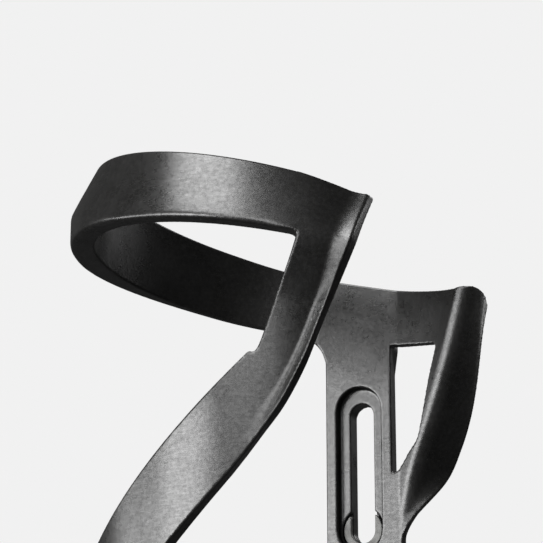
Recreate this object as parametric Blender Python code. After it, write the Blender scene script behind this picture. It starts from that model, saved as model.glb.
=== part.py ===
"""Side-entry water bottle cage, modelled in metres with +Z up.

The origin is on the mounting face, midway between the two bolt seats.
+Y points into the bicycle frame, the bottle stands on the -Y side and its axis is parallel to Z.
The entry side is +X. Angles round the bottle axis are 0 at the back plate and grow towards +X.
"""
import math

import bmesh
import bpy
from mathutils import Matrix, Vector

MM = 0.001
GAP = 0.3 * MM                    # clearance between neighbouring pieces

# bottle and bicycle
BOTTLE_RADIUS = 36.9 * MM         # from the bottle axis to the flat face of the back plate
BOLT_SPACING = 64.0 * MM
SLOT_WIDTH = 5.3 * MM             # clears an M5 bolt
SLOT_TRAVEL = 25.7 * MM           # height of a recess between the centres of its round ends
SLOT_SHORT = 0.9 * MM             # the slot in it ends this much lower, so a bolt travels 24.8 mm

# back plate
PLATE_WIDTH = 15.2 * MM
PLATE_EDGE_THICKNESS = 4.9 * MM
PLATE_DEPTH = 6.0 * MM            # flat face to mounting face, at the pad
PAD_WIDTH = 12.7 * MM
PAD_MARGIN = 3.0 * MM             # pad beyond each end of the recess
PAD_RUN_OUT = 5.0 * MM
RECESS_WIDTH = 10.1 * MM
RECESS_DEPTH = 2.1 * MM

# bolt seats
SEAT_OUTER_RADIUS = 4.3 * MM
SEAT_THICKNESS = 1.0 * MM
SEAT_PROUD = 0.2 * MM             # above the floor of the recess
SEAT_CLEARANCE = 0.1 * MM         # its opening is wider than the slot by this much each side

# retention band, measured where its planes cross the bottle axis
BAND_Z = 74.6 * MM                # lower edge
BAND_HEIGHT = 13.4 * MM
LOWER_TILT_SIDE = math.radians(11.4)
LOWER_TILT_BACK = math.radians(3.0)
UPPER_TILT_SIDE = math.radians(14.7)
UPPER_TILT_BACK = math.radians(3.7)
WALL_CLEARANCE = 1.1 * MM         # bottle to wall, halfway up the band
BAND_LEAN = 2.2 * MM              # the top of the band leans in by this much
LEAN_FROM = math.radians(14)      # the lean grows from here, round from the plate,
LEAN_TO = math.radians(45)        # to here
RIM_THICKNESS_REAR = 2.4 * MM     # lower rim of the band, at the back plate,
RIM_THICKNESS_LEFT = 5.2 * MM     # at the far left,
RIM_THICKNESS_FRONT = 3.5 * MM    # and at the front
TOP_THICKNESS = 2.0 * MM
RIM_FACE = 0.45                    # share of its height that stands upright at the left
RIM_FACE_FROM = math.radians(105)  # it shrinks between these angles, from the plate round the left
RIM_FACE_TO = math.radians(165)
RIM_GROWS_FROM = math.radians(48)  # the rim thickens towards the left between these
RIM_GROWS_TO = math.radians(100)
RIM_THINS_FROM = math.radians(95)  # and thins towards the front between these
RIM_THINS_TO = math.radians(170)
CROWN_POWER = 1.1                  # how the outer face curves from the rim up to the top

# diagonal strap, laid out on the unrolled wall
STRAP_THICKNESS = 2.8 * MM
STRAP_FADE = 14.0 * MM            # it leaves the band's profile over this height
STRAP_LIP_WIDTH = 4.6 * MM        # from the crease to the edge of the lip
STRAP_LIP_HEIGHT = 2.7 * MM       # the lip's edge stands out by this much
STRAP_LIP_BEVEL = 1.7 * MM        # outer face falls short of the inner one by this much
STRAP_LIP_BACK = 1.2 * MM         # and stands out less by this much
BAND_END_ANGLE = math.radians(132.4)
BAND_END_DROP = 1.2 * MM          # the band's top edge dips before it ends
STRAP_JOIN_ANGLE = math.radians(153.8)
STRAP_UPPER_RUN = 6.8 * MM        # how far the upper edge leans to the left before it turns
STRAP_UPPER_DROP = 21.0 * MM      # and how far it comes down
STRAP_TURN_RUN = 1.8 * MM         # the turn itself goes this much further to the left
STRAP_TURN_DROP = 1.0 * MM        # and down
STRAP_UPPER_SLOPE = 1.0          # fall for each millimetre to the left, at the turn
STRAP_LOWER_RUN = 25.8 * MM
STRAP_LOWER_DROP = 51.9 * MM
STRAP_LOWER_SLOPE = 1.09
FOOT_HEIGHT = 12.0 * MM           # where the strap meets the plate, just above the heel
FOOT_SLOPE = 0.08                 # fall of its edges there

# side wing
WING_THICKNESS = 2.2 * MM
WING_REACH = 29.0 * MM            # along the wall, at the height of the band's lower edge
WING_SLOPE = 0.47                 # reach lost for each millimetre down
WING_LENGTH = 50.0 * MM           # below the band's lower edge
WING_TOP_DROP = 0.1 * MM          # its top edge dips by this much at the crease
CREASE_RADIUS = 3.5 * MM          # inside the bend between the wall and the lip
LIP_TURN = math.radians(75.0)     # how far the lip bends out of the wall
LIP_TOP_LENGTH = 3.0 * MM         # past the bend, at the top of the wing
LIP_LENGTH = 6.4 * MM             # and further down
LIP_THICKNESS = 1.5 * MM
WING_CORNER_RADIUS = 4.5 * MM
WING_TAIL_FROM = 0.6              # share of the wing's length where its lip starts to run out
WING_TAIL_TO = 0.965              # and where it has
WING_TAIL_WIDTH = 1.2 * MM        # wall left beside the plate at the bottom
LIP_GROWS_TO = 0.55               # share of the length where the lip has its full length
LIP_LEAST_BEND = 0.05             # shares of the bend and of the length left at the bottom
LIP_LEAST_LENGTH = 0.08
CORNER_IN_BEND = 0.45             # share of the top corner that lies in the bend
WINDOW_TOP = 3.2 * MM             # below the band's lower edge
WINDOW_HEIGHT = 28.1 * MM
WINDOW_LIMB_TOP = 7.2 * MM        # wall between the window and the lip's crease, at the top
WINDOW_LIMB = 3.3 * MM            # and where the window narrows
WINDOW_SKEW = 2.0 * MM            # the window's top edge falls by this much towards the lip
WINDOW_FOOT = 0.9 * MM            # width left at the window's lower end
WINDOW_CORNER = 0.9 * MM

# base
PLATE_END = 2.4 * MM              # plate below the lower recess, above the heel
TOE_THICKNESS = 3.2 * MM
TOE_LENGTH = 30.0 * MM
TOE_WIDTH = 17.0 * MM
TOE_TIP_WIDTH = 14.0 * MM
HEEL_RADIUS = 7.0 * MM
ROOT_FILLET = 6.0 * MM            # band and strap roots run out into the plate

# flexing hinge, on the outside of the wall at the far left
HINGE_ANGLE = math.radians(-90.0)
HINGE_Z = 20.0 * MM
EDGE_CHAMFER = 0.45 * MM

# worked out from the sizes above
AXIS_Y = -(BOTTLE_RADIUS + PLATE_DEPTH)
WALL_RADIUS = BOTTLE_RADIUS + WALL_CLEARANCE
SEAT_Z = (BOLT_SPACING / 2, -BOLT_SPACING / 2)
PLATE_BOTTOM = SEAT_Z[1] - RECESS_WIDTH / 2 - PLATE_END
TOE_TOP = PLATE_BOTTOM - GAP - HEEL_RADIUS
TOE_BOTTOM = TOE_TOP - TOE_THICKNESS
HALF_PLATE = PLATE_WIDTH / 2
PLATE_ANGLE = math.asin(HALF_PLATE / WALL_RADIUS)
GAP_ANGLE = GAP / WALL_RADIUS
TURN = 2 * math.pi
HINGE_X = -(WALL_RADIUS + BAND_LEAN / 2 + RIM_THICKNESS_LEFT + GAP)


def smooth(low, high, value):
    """0 below low, 1 above high, and a smooth step between them."""
    t = min(1.0, max(0.0, (value - low) / (high - low)))
    return t * t * (3 - 2 * t)


def mix(a, b, t):
    return a + (b - a) * t


def around(angle, radius, z):
    """A point at an angle and a radius round the bottle axis."""
    return Vector((radius * math.sin(angle), AXIS_Y + radius * math.cos(angle), z))


def wrapped(angle):
    """The same angle between -180 and 180 degrees."""
    return (angle + math.pi) % TURN - math.pi


def lower_edge(angle):
    x = WALL_RADIUS * math.sin(angle)
    y = WALL_RADIUS * math.cos(angle)
    return BAND_Z - x * math.tan(LOWER_TILT_SIDE) - y * math.tan(LOWER_TILT_BACK)


def upper_edge(angle):
    x = WALL_RADIUS * math.sin(angle)
    y = WALL_RADIUS * math.cos(angle)
    rise = x * math.tan(UPPER_TILT_SIDE) + y * math.tan(UPPER_TILT_BACK)
    if angle % TURN > math.pi / 2:
        rise += BAND_END_DROP * smooth(STRAP_JOIN_ANGLE, BAND_END_ANGLE, angle % TURN)
    return BAND_Z + BAND_HEIGHT - rise


def flat_or_wall(angle):
    """Radius of the inner face: flat at the back plate, then the round wall."""
    if math.cos(angle) <= 0:
        return WALL_RADIUS
    return min(BOTTLE_RADIUS / math.cos(angle), WALL_RADIUS)


def rim_thickness(angle):
    """Thickness of the band's lower rim, from the plate round the left side to the front."""
    round_left = (-angle) % TURN
    to_left = smooth(RIM_GROWS_FROM, RIM_GROWS_TO, round_left)
    to_front = smooth(RIM_THINS_FROM, RIM_THINS_TO, round_left)
    left = mix(RIM_THICKNESS_REAR, RIM_THICKNESS_LEFT, to_left)
    return mix(left, RIM_THICKNESS_FRONT, to_front)


def band_radii(angle, height):
    """Inner and outer radius of the band, height 0 at its lower edge and 1 at its top."""
    lean = smooth(LEAN_FROM, LEAN_TO, abs(wrapped(angle)))
    inner = flat_or_wall(angle) + lean * BAND_LEAN * (0.5 - height)
    rim = rim_thickness(angle)
    face = RIM_FACE * (1 - smooth(RIM_FACE_FROM, RIM_FACE_TO, (-angle) % TURN))
    crown = (max(0.0, height - face) / (1 - face)) ** CROWN_POWER
    low = flat_or_wall(angle) + lean * BAND_LEAN / 2 + rim
    high = flat_or_wall(angle) - lean * BAND_LEAN / 2 + TOP_THICKNESS
    return inner, mix(low, high, crown)


def shell_radii(angle, z):
    """Inner and outer radius of the strap, which leaves the band's profile as it comes down."""
    low = lower_edge(angle)
    height = (z - low) / (upper_edge(angle) - low)
    if height >= 0:
        return band_radii(angle, min(height, 1.0))
    inner, outer = band_radii(angle, 0.0)
    away = smooth(0.0, STRAP_FADE, low - z)
    strap_inner = flat_or_wall(angle)
    return mix(inner, strap_inner, away), mix(outer, strap_inner + STRAP_THICKNESS, away)


def material(name, colour, roughness, metallic):
    made = bpy.data.materials.new(name)
    made.use_nodes = True
    shader = made.node_tree.nodes["Principled BSDF"]
    shader.inputs["Base Color"].default_value = (*colour, 1.0)
    shader.inputs["Roughness"].default_value = roughness
    shader.inputs["Metallic"].default_value = metallic
    return made


def finish_object(name, bm, made, cutter=False):
    """Turn a bmesh into a named object with its faces pointing out."""
    bmesh.ops.remove_doubles(bm, verts=bm.verts, dist=0.001 * MM)
    bmesh.ops.recalc_face_normals(bm, faces=bm.faces)
    mesh = bpy.data.meshes.new(name)
    bm.to_mesh(mesh)
    bm.free()
    obj = bpy.data.objects.new(name, mesh)
    bpy.context.scene.collection.objects.link(obj)
    if cutter:
        obj.hide_render = True
        obj.display_type = "WIRE"
        return obj
    mesh.materials.append(made)
    mesh.shade_smooth()
    mesh.set_sharp_from_angle(angle=math.radians(35))
    return obj


def cut(obj, tool):
    boolean = obj.modifiers.new("cut_" + tool.name, "BOOLEAN")
    boolean.operation = "DIFFERENCE"
    boolean.solver = "EXACT"
    boolean.object = tool


def skin(bm, rings):
    """Join a row of closed rings with the same number of points, and return their vertices."""
    rows = [[bm.verts.new(point) for point in ring] for ring in rings]
    count = len(rows[0])
    for first, second in zip(rows, rows[1:]):
        for i in range(count):
            j = (i + 1) % count
            bm.faces.new((first[i], first[j], second[j], second[i]))
    return rows


def loft(bm, rings):
    """Skin a row of flat rings and cap both ends with one face."""
    rows = skin(bm, rings)
    bm.faces.new(rows[0])
    bm.faces.new(list(reversed(rows[-1])))


def sheet_loft(bm, rings):
    """Skin rings made by sheet_ring, and cap both ends with faces from one side to the other."""
    rows = skin(bm, rings)
    for row in (rows[0], rows[-1]):
        across = len(row) // 2 - 4
        near = [row[2 * across + 6], row[2 * across + 7]] + row[:across + 2]
        far = [row[i] for i in range(2 * across + 5, across + 1, -1)]
        for i in range(len(near) - 1):
            bm.faces.new((near[i], near[i + 1], far[i + 1], far[i]))


def edge_points(near, far, inside_near, inside_far):
    """Two chamfered corners of a sheet's edge, from its near face to its far face."""
    def towards(start, end):
        step = end - start
        reach = min(EDGE_CHAMFER, step.length * 0.4)
        return start + step.normalized() * reach
    return [towards(near, inside_near), towards(near, far), towards(far, near), towards(far, inside_far)]


def sheet_ring(inner, outer):
    """A closed ring round a sheet, from the points across its inner and its outer face."""
    end = edge_points(inner[-1], outer[-1], inner[-2], outer[-2])
    start = edge_points(outer[0], inner[0], outer[1], inner[1])
    return inner[1:-1] + end + list(reversed(outer[1:-1])) + start


def stadium(width, low, high, y_from, y_to, steps=12):
    """A slot-shaped prism along Y, with round ends centred on the heights low and high."""
    radius = width / 2
    outline = []
    for i in range(steps + 1):
        turn = math.pi * i / steps
        outline.append((radius * math.cos(turn), high + radius * math.sin(turn)))
    for i in range(steps + 1):
        turn = math.pi + math.pi * i / steps
        outline.append((radius * math.cos(turn), low + radius * math.sin(turn)))
    return [[Vector((x, y, z)) for x, z in outline] for y in (y_from, y_to)]


def plate_section(z_at, back):
    """One ring of the back plate: flat face, straight sides, then a taper to the pad."""
    front = -PLATE_DEPTH
    side = front + PLATE_EDGE_THICKNESS
    half_pad = mix(HALF_PLATE - EDGE_CHAMFER, PAD_WIDTH / 2, min(1.0, (back - side) / (-side)))
    c = EDGE_CHAMFER
    half = [(HALF_PLATE - c, front), (HALF_PLATE, front + c), (HALF_PLATE, side - c), (half_pad, back)]
    outline = half + [(-x, y) for x, y in reversed(half)]
    return [Vector((x, y, z_at(x))) for x, y in outline]


def make_back_plate(made):
    plate_front = -PLATE_DEPTH
    thin = plate_front + PLATE_EDGE_THICKNESS
    recess_end = SLOT_TRAVEL + RECESS_WIDTH / 2
    pad_top = SEAT_Z[0] + recess_end + PAD_MARGIN

    def top_line(x):
        return upper_edge(math.asin(x / WALL_RADIUS))

    stops = [
        (top_line, thin),
        (lambda x: pad_top + PAD_RUN_OUT, thin),
        (lambda x: pad_top, 0.0),
        (lambda x: PLATE_BOTTOM, 0.0),
    ]
    bm = bmesh.new()
    loft(bm, [plate_section(z_at, back) for z_at, back in stops])
    plate = finish_object("back_plate", bm, made)

    recesses = bmesh.new()
    slots = bmesh.new()
    pockets = bmesh.new()
    floor = plate_front + RECESS_DEPTH
    pocket_floor = floor + SEAT_THICKNESS - SEAT_PROUD + GAP
    for z in SEAT_Z:
        loft(recesses, stadium(RECESS_WIDTH, z, z + SLOT_TRAVEL, plate_front - 1 * MM, floor, 16))
        loft(slots, stadium(SLOT_WIDTH, z, z + SLOT_TRAVEL - SLOT_SHORT, plate_front - 2 * MM, 2 * MM, 12))
        pocket_width = 2 * (SEAT_OUTER_RADIUS + GAP)
        pocket = stadium(pocket_width, z, z + GAP, floor - 1 * MM, pocket_floor, 16)
        loft(pockets, pocket)
    cut(plate, finish_object("recess_cutter", recesses, None, cutter=True))
    cut(plate, finish_object("pocket_cutter", pockets, None, cutter=True))
    cut(plate, finish_object("slot_cutter", slots, None, cutter=True))


def make_bolt_seat(name, z, made):
    """A flat ring, open at the top where the slot runs through it."""
    inner = SLOT_WIDTH / 2 + SEAT_CLEARANCE
    tip = math.acos(inner / SEAT_OUTER_RADIUS)
    steps = 28
    outline = []
    for i in range(steps + 1):
        turn = mix(tip, -math.pi - tip, i / steps)
        outline.append((SEAT_OUTER_RADIUS * math.cos(turn), SEAT_OUTER_RADIUS * math.sin(turn)))
    for i in range(steps // 2 + 1):
        turn = mix(-math.pi, 0.0, i / (steps // 2))
        outline.append((inner * math.cos(turn), inner * math.sin(turn)))
    front = -PLATE_DEPTH + RECESS_DEPTH - SEAT_PROUD
    rings = [[Vector((x, y, z + up)) for x, up in outline] for y in (front, front + SEAT_THICKNESS)]
    bm = bmesh.new()
    loft(bm, rings)
    finish_object(name, bm, made)


def band_station(angle, drop=0.0):
    """A ring across the band, with its lower edge let down by drop."""
    low = lower_edge(angle) - drop
    high = upper_edge(angle)
    inner = []
    outer = []
    for i in range(6):
        z = mix(low, high, i / 5)
        r_in, r_out = shell_radii(angle, z)
        inner.append(around(angle, r_in, z))
        outer.append(around(angle, r_out, z))
    return sheet_ring(inner, outer)


def root_drop(angle):
    """How far the fillet at the plate lets an edge down, 0 away from the plate."""
    away = (abs(wrapped(angle)) - PLATE_ANGLE) * WALL_RADIUS
    if away >= ROOT_FILLET:
        return 0.0
    return ROOT_FILLET - math.sqrt(max(0.0, ROOT_FILLET ** 2 - (ROOT_FILLET - away) ** 2))


def make_rear_band(made):
    start = -PLATE_ANGLE - GAP_ANGLE
    end = HINGE_ANGLE + GAP_ANGLE / 2
    fillet_end = -PLATE_ANGLE - ROOT_FILLET / WALL_RADIUS
    angles = [mix(start, fillet_end, (i / 5) ** 2) for i in range(5)]
    angles += [mix(fillet_end, end, i / 22) for i in range(23)]
    bm = bmesh.new()
    sheet_loft(bm, [band_station(angle, root_drop(angle)) for angle in angles])
    finish_object("rear_band", bm, made)


def make_front_band(made):
    start = HINGE_ANGLE - GAP_ANGLE / 2
    end = STRAP_JOIN_ANGLE - TURN + 1.5 * GAP_ANGLE
    bm = bmesh.new()
    sheet_loft(bm, [band_station(mix(start, end, i / 32)) for i in range(33)])
    finish_object("front_band", bm, made)


def curve(points, t):
    """A smooth curve through points, t from 0 to 1 (Catmull-Rom)."""
    spans = len(points) - 1
    place = min(spans - 1e-6, max(0.0, t * spans))
    i = int(place)
    u = place - i
    p1, p2 = points[i], points[i + 1]
    p0 = points[i - 1] if i > 0 else tuple(2 * a - b for a, b in zip(p1, p2))
    p3 = points[i + 2] if i + 2 <= spans else tuple(2 * b - a for a, b in zip(p1, p2))
    result = []
    for a, b, c, d in zip(p0, p1, p2, p3):
        result.append(0.5 * (2 * b + (c - a) * u + (2 * a - 5 * b + 4 * c - d) * u * u
                             + (3 * b - a - 3 * c + d) * u ** 3))
    return result


def run_out(start, end, slope, s):
    """Height at s on a smooth curve from start, where it falls by slope, to end at the plate."""
    length = end[0] - start[0]
    t = (s - start[0]) / length
    level = 1 - 3 * t * t + 2 * t ** 3
    first = t - 2 * t * t + t ** 3
    last = t ** 3 - t * t
    return start[1] * level + end[1] * (1 - level) - length * (slope * first + FOOT_SLOPE * last)


def strap_turns():
    """Where the upper and the lower edge of the strap turn to the left, as (arc, z)."""
    under = lower_edge(STRAP_JOIN_ANGLE)
    upper_arc = STRAP_JOIN_ANGLE * WALL_RADIUS + STRAP_UPPER_RUN + STRAP_TURN_RUN
    upper = (upper_arc, under - STRAP_UPPER_DROP - STRAP_TURN_DROP)
    lower_arc = BAND_END_ANGLE * WALL_RADIUS + STRAP_LOWER_RUN
    return upper, (lower_arc, upper_edge(BAND_END_ANGLE) - STRAP_LOWER_DROP)


def upper_side(s):
    root = (TURN - PLATE_ANGLE) * WALL_RADIUS
    return run_out(strap_turns()[0], (root, PLATE_BOTTOM + FOOT_HEIGHT), STRAP_UPPER_SLOPE, s)


def lower_side(s):
    root = (TURN - PLATE_ANGLE) * WALL_RADIUS
    return run_out(strap_turns()[1], (root, PLATE_BOTTOM), STRAP_LOWER_SLOPE, s)


def strap_edges():
    """Points (arc, z) down the strap's edges, from the top of the band to the turn."""
    join = STRAP_JOIN_ANGLE * WALL_RADIUS
    end = BAND_END_ANGLE * WALL_RADIUS
    under = lower_edge(STRAP_JOIN_ANGLE)
    top = upper_edge(BAND_END_ANGLE)
    turn_upper = strap_turns()[0]
    lean = STRAP_UPPER_RUN / STRAP_UPPER_DROP
    upper = [
        (join, upper_edge(STRAP_JOIN_ANGLE)),
        (join, mix(upper_edge(STRAP_JOIN_ANGLE), under, 0.8)),
        (join + lean * 3 * MM, under - 3 * MM),
        (join + lean * 12 * MM, under - 12 * MM),
        (join + STRAP_UPPER_RUN, under - STRAP_UPPER_DROP),
        turn_upper,
    ]
    bow = [(0, 0), (0.12, 0.13), (0.275, 0.34), (0.405, 0.51), (0.51, 0.65), (0.642, 0.78), (0.80, 0.88)]
    bow.append((1, 1))
    lower = [(end + run * STRAP_LOWER_RUN, top - drop * STRAP_LOWER_DROP) for run, drop in bow]
    return upper, lower


def strap_corners(t):
    """The strap's edges (arc, z) at t, 0 at the top of the band, 1 at the turn, 2 at the hinge."""
    if t <= 1:
        upper, lower = strap_edges()
        return curve(upper, t), curve(lower, t)
    hinge = (HINGE_ANGLE + TURN) * WALL_RADIUS - GAP / 2
    upper, lower = strap_turns()
    s0 = mix(upper[0], hinge, t - 1)
    s1 = mix(lower[0], hinge, t - 1)
    return (s0, upper_side(s0)), (s1, lower_side(s1))


def strap_station(t):
    """A ring across the strap, whose lower edge flares outwards down to the turn."""
    (s0, z0), (s1, z1) = strap_corners(t)
    flare = 1 - smooth(0.62, 0.97, t)
    span = math.hypot(s1 - s0, z1 - z0)
    crease = 1 - STRAP_LIP_WIDTH / span
    half = 1 - STRAP_LIP_WIDTH / 2 / span
    inner = []
    outer = []
    for share, lift in ((0, 0), (0.25, 0), (0.5, 0), (0.75, 0), (1, 0.03), (half, 0.35), (1, 1)):
        if lift < 0.1:
            share *= crease
        s = mix(s0, s1, share)
        z = mix(z0, z1, share)
        r_in, r_out = shell_radii(s / WALL_RADIUS, z)
        back = flare * lift * STRAP_LIP_BEVEL / span
        outer_s = mix(s0, s1, share - back)
        outer_z = mix(z0, z1, share - back)
        inner.append(around(s / WALL_RADIUS, r_in + flare * lift * STRAP_LIP_HEIGHT, z))
        lifted = r_out + flare * lift * (STRAP_LIP_HEIGHT - STRAP_LIP_BACK)
        outer.append(around(outer_s / WALL_RADIUS, lifted, outer_z))
    return sheet_ring(inner, outer)


def make_diagonal_strap(made):
    to_turn = 26
    to_hinge = 22
    stops = [i / to_turn for i in range(to_turn)]
    stops += [1 + i / to_hinge for i in range(to_hinge + 1)]
    bm = bmesh.new()
    sheet_loft(bm, [strap_station(t) for t in stops])
    finish_object("diagonal_strap", bm, made)


def make_strap_foot(made):
    """The strap's lower end, from the hinge line back to the plate."""
    hinge = HINGE_ANGLE + TURN + GAP_ANGLE / 2
    root = TURN - PLATE_ANGLE - GAP_ANGLE
    steps = 26
    bm = bmesh.new()
    rings = []
    for i in range(steps + 1):
        angle = mix(root, hinge, (1 - i / steps) ** 1.35)
        top = upper_side(angle * WALL_RADIUS) + root_drop(angle)
        low = lower_side(angle * WALL_RADIUS)
        inner = []
        outer = []
        for k in range(5):
            z = mix(top, low, k / 4)
            r_in, r_out = shell_radii(angle, z)
            inner.append(around(angle, r_in, z))
            outer.append(around(angle, r_out, z))
        rings.append(sheet_ring(inner, outer))
    sheet_loft(bm, rings)
    finish_object("strap_foot", bm, made)


def wing_edge(z):
    """Arc length from the plate's middle to the crease of the lip, at a height."""
    return WING_REACH + (z - BAND_Z) * WING_SLOPE


def wing_station(t):
    """A ring across the wing: the wall from the plate to the bend, the bend, then the flared lip."""
    bottom = BAND_Z - WING_LENGTH
    start = PLATE_ANGLE * WALL_RADIUS + GAP
    base_z = mix(upper_edge(WING_REACH / WALL_RADIUS), bottom, t)
    fade = 1 - smooth(WING_TAIL_FROM, WING_TAIL_TO, t)
    wall_end = max(wing_edge(base_z) - CREASE_RADIUS * fade, start + WING_TAIL_WIDTH)
    level = (1 - t) ** 2
    inner = []
    outer = []
    count = 6
    for i in range(count + 1):
        s = mix(start, wall_end, i / count)
        angle = s / WALL_RADIUS
        top = upper_edge(angle) - WING_TOP_DROP * smooth(0.4, 1.0, i / count)
        z = mix(base_z, mix(top, bottom, t), level)
        inner.append(around(angle, flat_or_wall(angle), z))
        outer.append(around(angle, flat_or_wall(angle) + WING_THICKNESS, z))
    bend = LIP_TURN * max(fade, LIP_LEAST_BEND)
    length = mix(LIP_TOP_LENGTH, LIP_LENGTH, smooth(0.0, LIP_GROWS_TO, t))
    length *= max(fade, LIP_LEAST_LENGTH)
    rounding = WING_CORNER_RADIUS * level
    for turned, along in ((0.33, 0), (0.67, 0), (1, 0), (1, 0.4), (1, 0.75), (1, 1)):
        angle = bend * turned
        s = wall_end + CREASE_RADIUS * math.sin(angle) + length * along * math.cos(angle)
        up = CREASE_RADIUS * (1 - math.cos(angle)) + length * along * math.sin(angle)
        past = mix(turned * CORNER_IN_BEND, 1.0, along)
        z = inner[count].z - rounding * (1 - math.sqrt(1 - past ** 3))
        thickness = mix(WING_THICKNESS, LIP_THICKNESS, along)
        inner.append(around(s / WALL_RADIUS, WALL_RADIUS + up, z))
        behind = s - thickness * math.sin(angle)
        outer.append(around(behind / WALL_RADIUS, WALL_RADIUS + up + thickness * math.cos(angle), z))
    return sheet_ring(inner, outer)


def rounded(corners, radius, steps=4):
    """A closed outline whose corners are rounded."""
    outline = []
    count = len(corners)
    for i in range(count):
        before, here, after = (Vector(corners[(i + k) % count]) for k in (-1, 0, 1))
        first = (before - here).normalized()
        second = (after - here).normalized()
        reach = min(radius, (before - here).length * 0.45, (after - here).length * 0.45)
        a = here + first * reach
        b = here + second * reach
        for k in range(steps + 1):
            t = k / steps
            outline.append((1 - t) ** 2 * a + 2 * t * (1 - t) * here + t * t * b)
    return outline


def window_outline():
    """Corners (arc, z) of the window, open towards the plate's side."""
    top = BAND_Z - WINDOW_TOP
    bottom = top - WINDOW_HEIGHT
    inside = PLATE_ANGLE * WALL_RADIUS - 2 * MM
    plate_side = PLATE_ANGLE * WALL_RADIUS
    bend = mix(top, bottom, 0.76)
    return [
        (inside, top),
        (wing_edge(top) - WINDOW_LIMB_TOP, top - WINDOW_SKEW),
        (wing_edge(bend) - WINDOW_LIMB, bend),
        (plate_side + WINDOW_FOOT, bottom),
        (inside, bottom),
    ]


def make_side_wing(made):
    steps = 26
    bm = bmesh.new()
    sheet_loft(bm, [wing_station(i / steps) for i in range(steps + 1)])
    wing = finish_object("side_wing", bm, made)
    outline = rounded(window_outline(), WINDOW_CORNER)
    rings = []
    for radius in (WALL_RADIUS - 4 * MM, WALL_RADIUS + 8 * MM):
        rings.append([around(p.x / WALL_RADIUS, radius, p.y) for p in outline])
    tool = bmesh.new()
    loft(tool, rings)
    cut(wing, finish_object("window_cutter", tool, None, cutter=True))


def make_base_toe(made):
    """The heel under the back plate and the toe that the bottle stands on."""
    front = -PLATE_DEPTH
    centre_y = front - HEEL_RADIUS
    centre_z = TOE_TOP + HEEL_RADIUS
    steps = 8
    rings = []

    def ring(inner, outer, half):
        c = EDGE_CHAMFER
        across = [-half, -half + 3 * c, half - 3 * c, half]
        inside = [Vector((x, inner[0], inner[1])) for x in across]
        outside = [Vector((x, outer[0], outer[1])) for x in across]
        return sheet_ring(inside, outside)

    for i in range(steps + 1):
        turn = math.pi / 2 * i / steps
        thick = mix(PLATE_DEPTH, TOE_THICKNESS, smooth(0, 1, i / steps))
        reach = HEEL_RADIUS + thick
        inner = (centre_y + HEEL_RADIUS * math.cos(turn), centre_z - HEEL_RADIUS * math.sin(turn))
        outer = (centre_y + reach * math.cos(turn), centre_z - reach * math.sin(turn))
        rings.append(ring(inner, outer, HALF_PLATE))
    straight = TOE_LENGTH - HEEL_RADIUS
    tip_radius = TOE_TIP_WIDTH / 2
    for i in range(1, 9):
        y = centre_y - (straight - tip_radius) * i / 8
        half = mix(HALF_PLATE, TOE_WIDTH / 2, smooth(0, 0.4, i / 8))
        half = mix(half, TOE_TIP_WIDTH / 2, smooth(0.4, 1, i / 8))
        rings.append(ring((y, TOE_TOP), (y, TOE_BOTTOM), half))
    tip_y = centre_y - (straight - tip_radius)
    for i in range(1, 7):
        turn = math.radians(80) * i / 6
        y = tip_y - tip_radius * math.sin(turn)
        half = max(tip_radius * math.cos(turn), 4 * EDGE_CHAMFER)
        rings.append(ring((y, TOE_TOP), (y, TOE_BOTTOM), half))
    bm = bmesh.new()
    sheet_loft(bm, rings)
    finish_object("base_toe", bm, made)


def hang_on_hinge(names):
    """Parent the flexing pieces to an empty on the axis of their hinge, where they are."""
    hinge = bpy.data.objects.new("arm_hinge", None)
    hinge.location = (HINGE_X, AXIS_Y, HINGE_Z)
    bpy.context.scene.collection.objects.link(hinge)
    for name in names:
        piece = bpy.data.objects[name]
        piece.parent = hinge
        piece.matrix_parent_inverse = Matrix.Translation(-hinge.location)


def main():
    for obj in list(bpy.data.objects):
        bpy.data.objects.remove(obj, do_unlink=True)
    black = (0.022, 0.021, 0.020)
    make_back_plate(material("plate_composite", black, 0.45, 0.0))
    make_side_wing(material("wing_composite", black, 0.45, 0.0))
    make_rear_band(material("rear_band_composite", black, 0.42, 0.0))
    make_front_band(material("front_band_composite", black, 0.42, 0.0))
    make_diagonal_strap(material("strap_composite", black, 0.42, 0.0))
    make_strap_foot(material("foot_composite", black, 0.42, 0.0))
    make_base_toe(material("toe_composite", black, 0.45, 0.0))
    steel = (0.62, 0.62, 0.60)
    make_bolt_seat("upper_bolt_seat", SEAT_Z[0], material("upper_seat_metal", steel, 0.35, 1.0))
    make_bolt_seat("lower_bolt_seat", SEAT_Z[1], material("lower_seat_metal", steel, 0.35, 1.0))
    hang_on_hinge(("front_band", "diagonal_strap"))


main()
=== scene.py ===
import math

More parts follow.
